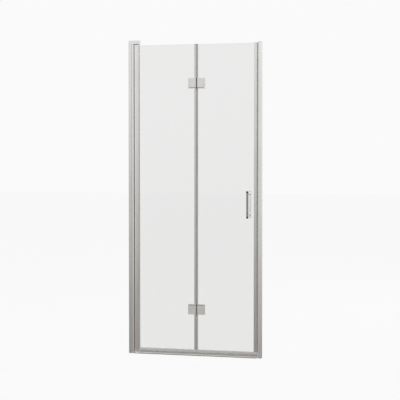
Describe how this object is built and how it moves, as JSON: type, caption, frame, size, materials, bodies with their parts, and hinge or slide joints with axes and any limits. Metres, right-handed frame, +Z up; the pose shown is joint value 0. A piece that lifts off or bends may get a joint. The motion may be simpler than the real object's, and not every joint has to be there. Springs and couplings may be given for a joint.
{
  "type": "bifold shower door",
  "caption": "Bifold shower door: framed clear-glass panels that fold inwards on glass hinges between wall profiles, with a sill and bar handles.",
  "frame": {"origin": "middle of the sill's underside, in the middle plane of the closed glass", "axes": "+X to the right along the closed door as seen from outside the shower, +Y into the shower, +Z up"},
  "size_m": [0.8, 0.096, 1.85],
  "materials": {
    "brushed_nickel": "nickel-coloured extrusion, fine brushing, satin",
    "cast_nickel": "nickel-plated casting, satin",
    "handle_nickel": "dark satin nickel",
    "cover_nickel": "nickel-coloured satin",
    "pin_steel": "turned",
    "clear_glass": "polished, toughened",
    "grey_seal": "extruded, satin",
    "black_rubber": "matt",
    "magnet_strip": "matt",
    "white_nylon": "moulded",
    "plug_black": "moulded, satin",
    "hinge_core_black": "matt black coated casting"
  },
  "bodies": {
    "frame": {"wall_channel_left": "brushed_nickel", "wall_channel_right": "brushed_nickel", "pivot_jamb": "brushed_nickel", "strike_jamb": "brushed_nickel", "pivot_seal": "black_rubber", "strike_magnet": "magnet_strip", "top_pivot_cap": "cast_nickel", "top_pivot_pin": "pin_steel", "strike_top_cap": "cast_nickel", "sill": "brushed_nickel", "bottom_pivot_shoe": "cast_nickel", "sill_end_block": "cast_nickel", "bottom_pivot_pin": "pin_steel", "pivot_washer": "white_nylon", "jamb_screws": "pin_steel", "jamb_screw_covers": "cover_nickel"},
    "pivot_panel": {"pivot_stile": "brushed_nickel", "pivot_stile_gasket": "black_rubber", "stile_top_bush": "white_nylon", "stile_bottom_bush": "white_nylon", "left_glass": "clear_glass", "left_bottom_rail": "brushed_nickel", "left_wiper": "grey_seal", "left_centre_seal": "grey_seal", "upper_hinge_front_left": "cast_nickel", "upper_hinge_back_left": "cast_nickel", "upper_hinge_core_left": "hinge_core_black", "upper_hinge_pin": "pin_steel", "lower_hinge_front_left": "cast_nickel", "lower_hinge_back_left": "cast_nickel", "lower_hinge_core_left": "hinge_core_black", "lower_hinge_pin": "pin_steel", "hinge_pads_left": "black_rubber", "hinge_sleeves_left": "white_nylon", "hinge_screws_left": "pin_steel"},
    "handle_panel": {"right_glass": "clear_glass", "handle_stile": "brushed_nickel", "handle_stile_gasket": "black_rubber", "door_magnet": "magnet_strip", "right_bottom_rail": "brushed_nickel", "right_wiper": "grey_seal", "right_centre_seal": "grey_seal", "upper_hinge_front_right": "cast_nickel", "upper_hinge_back_right": "cast_nickel", "upper_hinge_core_right": "hinge_core_black", "lower_hinge_front_right": "cast_nickel", "lower_hinge_back_right": "cast_nickel", "lower_hinge_core_right": "hinge_core_black", "hinge_pads_right": "black_rubber", "hinge_sleeves_right": "white_nylon", "hinge_screws_right": "pin_steel", "handle_outer": "handle_nickel", "handle_end_plugs": "plug_black", "handle_inner": "cast_nickel", "handle_washers": "white_nylon", "handle_studs": "pin_steel"}
  },
  "joints": [
    {"name": "pivot_turn", "type": "hinge", "parent": "frame", "child": "pivot_panel", "pos_m": [-0.3533, 0, 0.92], "axis": [0, 0, 1], "range_deg": [0, 90]},
    {"name": "centre_fold", "type": "hinge", "parent": "pivot_panel", "child": "handle_panel", "pos_m": [0.0125, -0.009, 0.92], "axis": [0, 0, -1], "range_deg": [0, 170]}
  ]
}
